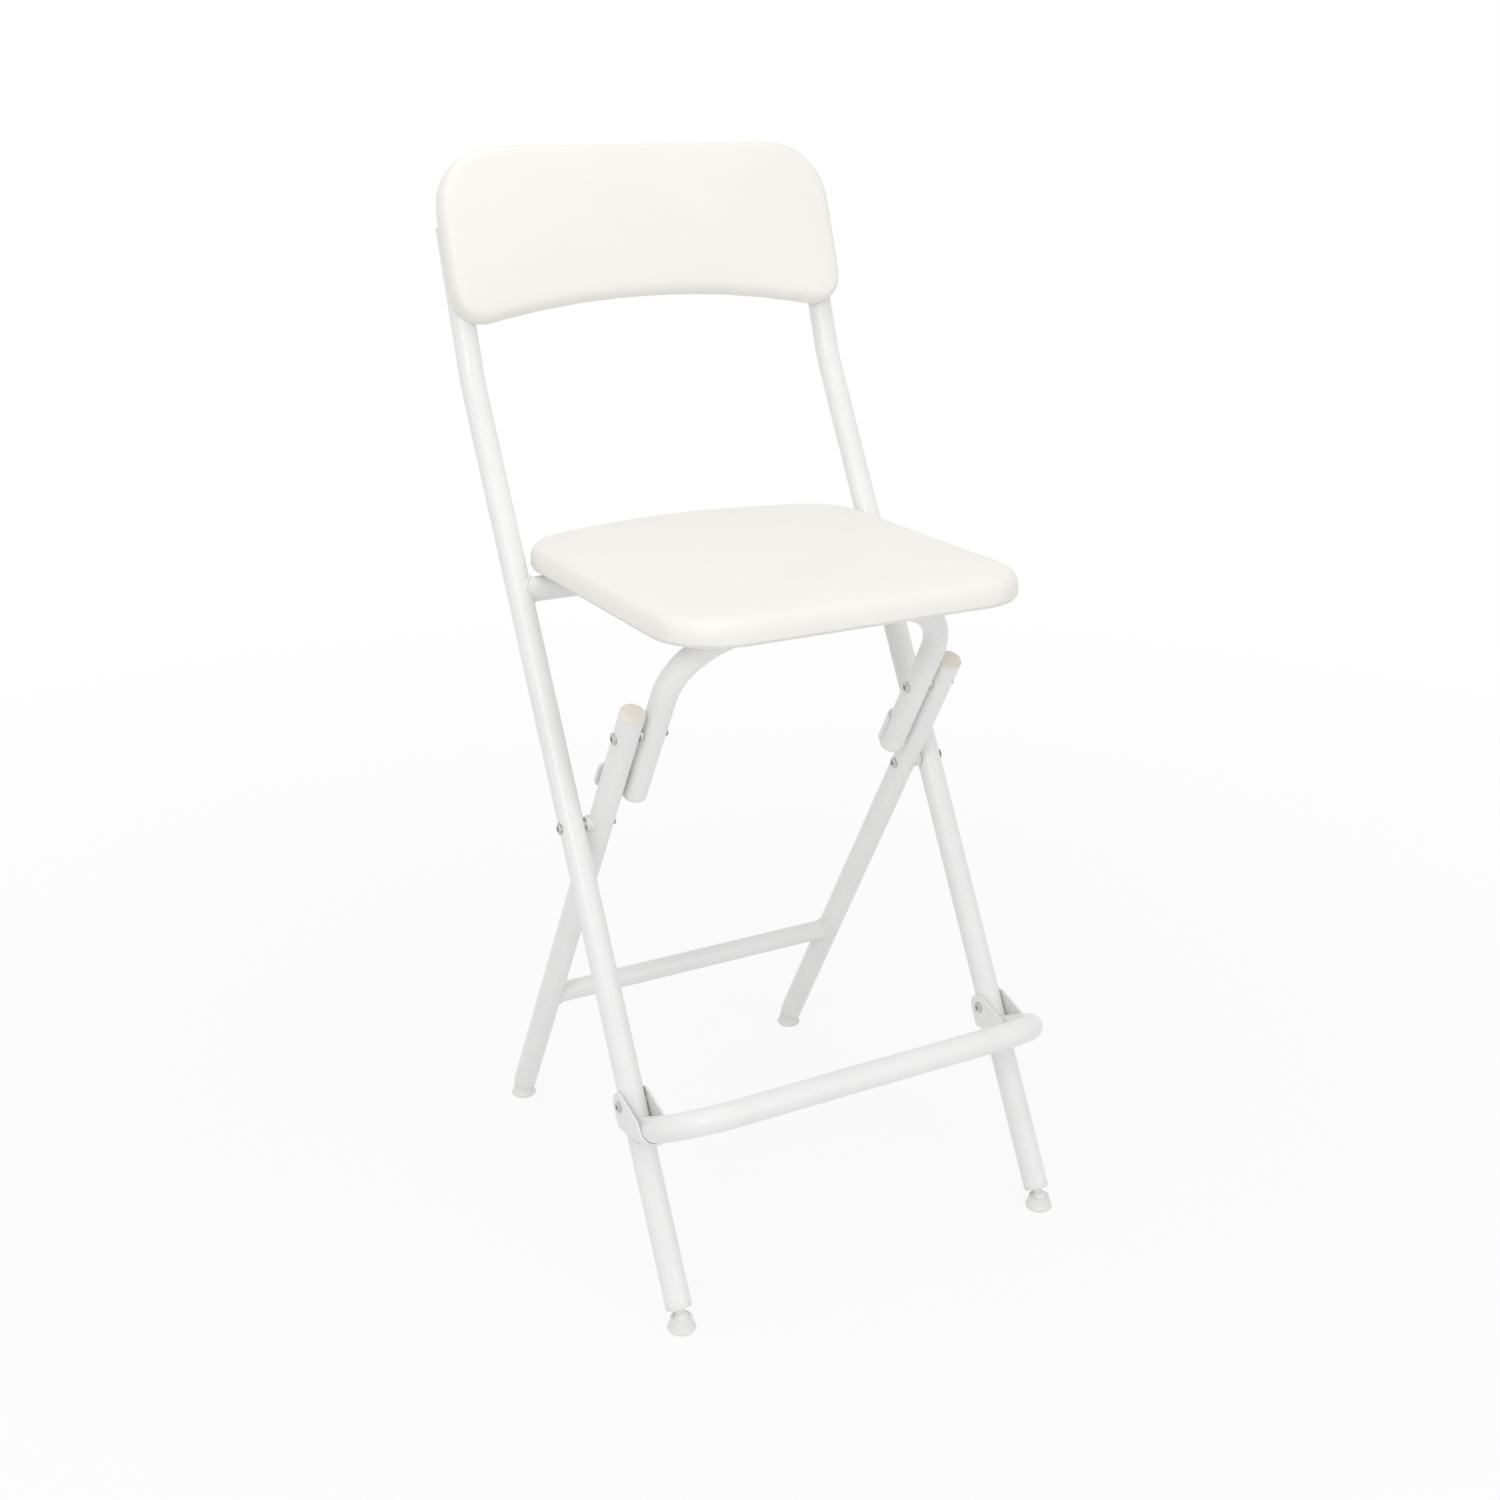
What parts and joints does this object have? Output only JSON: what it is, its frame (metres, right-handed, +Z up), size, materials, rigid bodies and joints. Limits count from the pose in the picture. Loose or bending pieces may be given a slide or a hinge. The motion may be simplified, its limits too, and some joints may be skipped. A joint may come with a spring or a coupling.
{
  "type": "folding bar stool",
  "caption": "Folding bar stool with crossed round-tube legs, a locking linkage under a padded seat, a padded backrest and a hinged tubular footrest.",
  "frame": {"origin": "on the floor, in the middle of the open stool's width and depth", "axes": "+Z up, -Y to the front where the sitter's knees are, X across; stored standing open"},
  "size_m": [0.3934, 0.4627, 0.9213],
  "materials": {
    "powder_coat": "satin",
    "cover": "soft satin grain",
    "board": "painted white",
    "cap_plastic": "satin",
    "glide_plastic": "satin, slightly translucent",
    "saddle_plastic": "satin",
    "zinc": "zinc plated"
  },
  "bodies": {
    "main_frame": {"long_leg_left": "powder_coat", "long_leg_right": "powder_coat", "seat_cross_tube": "powder_coat", "leg_top_cap_left": "cap_plastic", "leg_top_cap_right": "cap_plastic", "front_foot_plug_left": "glide_plastic", "front_foot_plug_right": "glide_plastic", "backrest_board": "board", "backrest_pad": "cover", "backrest_screws": "zinc", "lower_pivot_bolts": "zinc", "lower_pivot_nuts": "zinc", "lower_pivot_washers": "zinc", "footrest_bolts": "zinc", "footrest_nuts": "zinc"},
    "rear_frame": {"rear_leg_left": "powder_coat", "rear_leg_right": "powder_coat", "rear_crossbar": "powder_coat", "rear_leg_cap_left": "cap_plastic", "rear_leg_cap_right": "cap_plastic", "rear_foot_plug_left": "glide_plastic", "rear_foot_plug_right": "glide_plastic", "lower_pivot_spacers": "saddle_plastic", "upper_pivot_bolts": "zinc", "upper_pivot_nuts": "zinc", "upper_pivot_spacers": "zinc"},
    "seat_frame": {"seat_tube": "powder_coat", "seat_tube_cap_left": "cap_plastic", "seat_tube_cap_right": "cap_plastic", "stop_plate_left": "powder_coat", "stop_plate_right": "powder_coat"},
    "seat": {"seat_board": "board", "seat_pad": "cover", "seat_front_clip_left": "powder_coat", "seat_front_clip_right": "powder_coat", "seat_rear_saddle_left": "saddle_plastic", "seat_rear_saddle_right": "saddle_plastic", "seat_front_screws": "zinc", "seat_rear_screws": "zinc"},
    "footrest": {"footrest_bar": "powder_coat", "footrest_bracket_left": "powder_coat", "footrest_bracket_right": "powder_coat"},
    "front_glide_left": {"front_glide_left": "glide_plastic"},
    "rear_glide_left": {"rear_glide_left": "glide_plastic"},
    "front_glide_right": {"front_glide_right": "glide_plastic"},
    "rear_glide_right": {"rear_glide_right": "glide_plastic"}
  },
  "joints": [
    {"name": "fold", "type": "hinge", "parent": "main_frame", "child": "rear_frame", "pos_m": [0, -0.0153, 0.3717], "axis": [-1, 0, 0], "range_deg": [0, 56.9]},
    {"name": "seat_tube_turn", "type": "hinge", "parent": "rear_frame", "child": "seat_frame", "pos_m": [0, -0.06953, 0.46487], "axis": [1, 0, 0], "range_deg": [0, 171.78]},
    {"name": "seat_tilt", "type": "hinge", "parent": "seat_frame", "child": "seat", "pos_m": [0, -0.12375, 0.55804], "axis": [-1, 0, 0], "range_deg": [0, 56.95]},
    {"name": "footrest_turn", "type": "hinge", "parent": "main_frame", "child": "footrest", "pos_m": [0, -0.1285, 0.16494], "axis": [-1, 0, 0], "range_deg": [0, 90]},
    {"name": "front_glide_left_swivel", "type": "hinge", "parent": "main_frame", "child": "front_glide_left", "pos_m": [-0.1813, -0.21387, 0.009], "axis": [1, 0, 0], "range_deg": [-28, 2]},
    {"name": "rear_glide_left_swivel", "type": "hinge", "parent": "rear_frame", "child": "rear_glide_left", "pos_m": [-0.154, 0.1958, 0.009], "axis": [1, 0, 0], "range_deg": [-2, 30]},
    {"name": "front_glide_right_swivel", "type": "hinge", "parent": "main_frame", "child": "front_glide_right", "pos_m": [0.1813, -0.21387, 0.009], "axis": [1, 0, 0], "range_deg": [-28, 2]},
    {"name": "rear_glide_right_swivel", "type": "hinge", "parent": "rear_frame", "child": "rear_glide_right", "pos_m": [0.154, 0.1958, 0.009], "axis": [1, 0, 0], "range_deg": [-2, 30]}
  ],
  "couplings": [
    {"joint": "seat_tube_turn", "follows": "fold", "ratio": 3.0181},
    {"joint": "seat_tilt", "follows": "fold", "ratio": 1}
  ]
}
